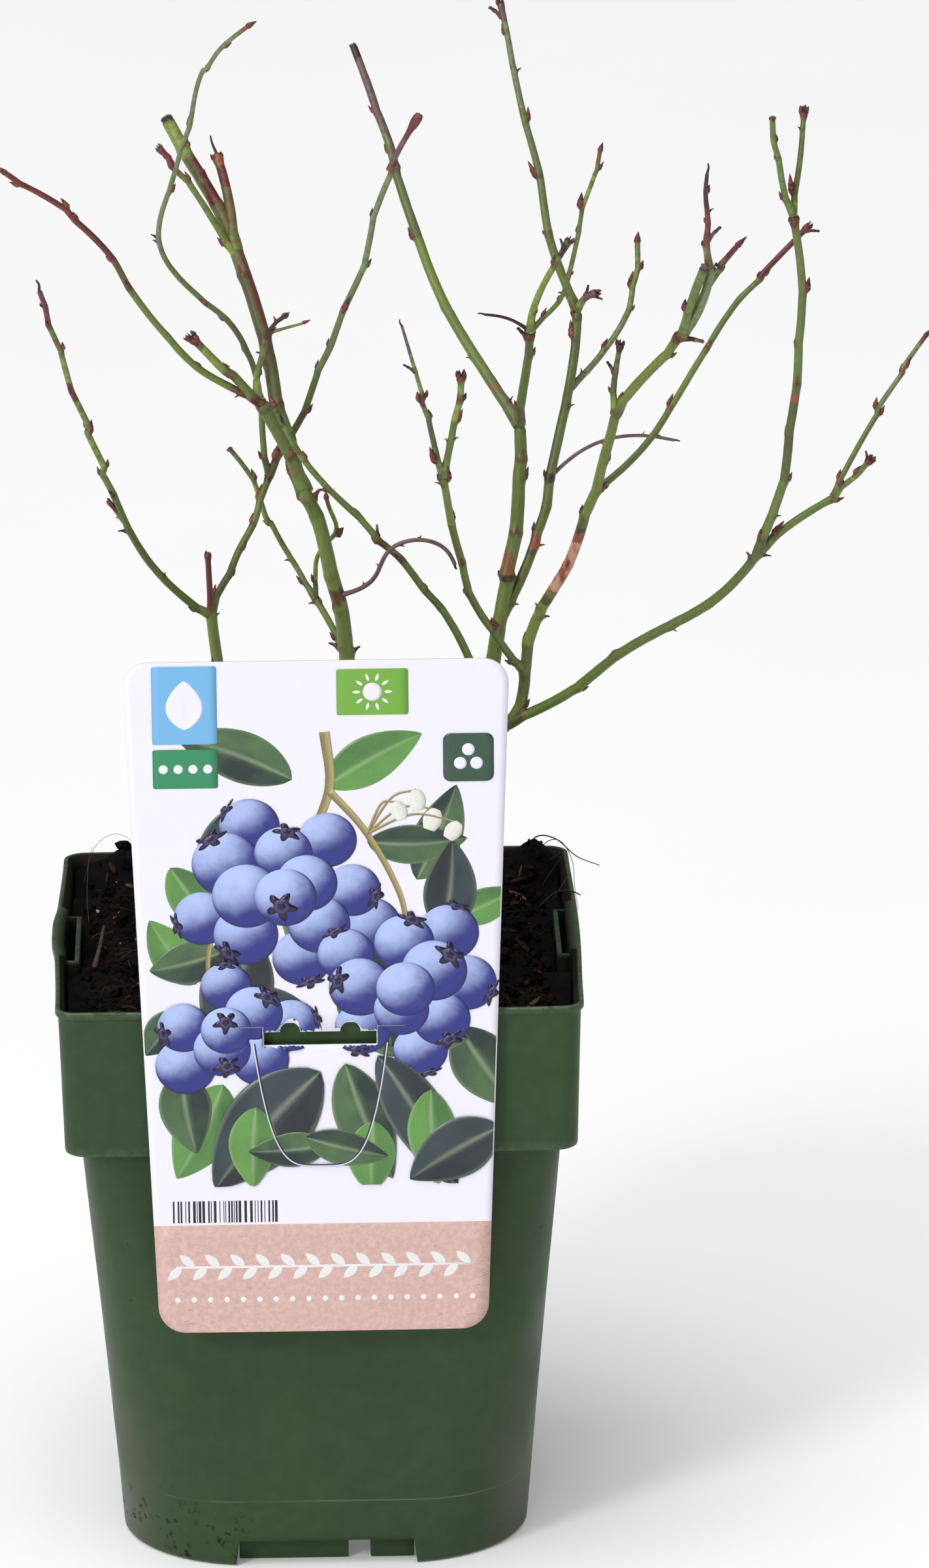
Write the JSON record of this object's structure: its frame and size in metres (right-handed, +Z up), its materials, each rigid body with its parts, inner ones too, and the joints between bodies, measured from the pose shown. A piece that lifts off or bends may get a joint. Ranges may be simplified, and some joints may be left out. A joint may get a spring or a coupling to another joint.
{
  "type": "blueberry bush in a pot",
  "caption": "Young blueberry bush, bare in winter, with green canes and red buds, in a square green nursery pot with a hanging picture card.",
  "frame": {"origin": "on the ground under the middle of the pot, at its round middle foot", "axes": "+Z up, -Y the side that the picture card hangs on, +X to the right as the card is read"},
  "size_m": [0.228, 0.1331, 0.3917],
  "materials": {
    "pot_plastic": "satin moulded plastic, slightly grained",
    "compost": "moist peat with fibres and bits of bark",
    "printed_card": "glossy coated card with a print of berries and leaves",
    "cane_bark": "smooth green bark with brown scars",
    "bough_bark": "smooth green bark, red-brown at the nodes",
    "twig_bark": "green twigs with red-brown buds and tips"
  },
  "bodies": {
    "root": {"back_left_twigs": "twig_bark", "back_thin_bough": "bough_bark", "back_up_twigs": "twig_bark", "card": "printed_card", "centre_bough": "bough_bark", "centre_twigs": "twig_bark", "compost": "compost", "curled_dead_twigs": "twig_bark", "far_left_bough": "bough_bark", "far_left_twigs": "twig_bark", "far_right_bough": "bough_bark", "far_right_twigs": "twig_bark", "fork_bough": "bough_bark", "fork_twigs": "twig_bark", "front_thin_bough": "bough_bark", "front_thin_twigs": "twig_bark", "left_cane": "cane_bark", "left_crossing_bough": "bough_bark", "left_crossing_twigs": "twig_bark", "left_inner_bough": "bough_bark", "left_outer_bough": "bough_bark", "left_outer_twigs": "twig_bark", "left_top_bough": "bough_bark", "left_top_twigs": "twig_bark", "long_dead_twigs": "twig_bark", "long_right_bough": "bough_bark", "long_right_twigs": "twig_bark", "low_arch_bough": "bough_bark", "low_arch_outer_bough": "bough_bark", "low_arch_twigs": "twig_bark", "middle_cane": "cane_bark", "middle_spur_twigs": "twig_bark", "middle_top_bough": "bough_bark", "middle_top_twigs": "twig_bark", "pot": "pot_plastic", "right_back_twigs": "twig_bark", "right_cane": "cane_bark", "right_middle_bough": "bough_bark", "right_spur_twigs": "twig_bark", "right_upper_bough": "bough_bark", "right_upper_twigs": "twig_bark", "short_left_twigs": "twig_bark", "short_stem": "cane_bark", "tall_bough": "bough_bark", "tall_left_bough": "bough_bark", "tall_left_twigs": "twig_bark", "tall_short_twigs": "twig_bark", "tall_upper_bough": "bough_bark", "tall_upper_twigs": "twig_bark"}
  },
  "joints": []
}
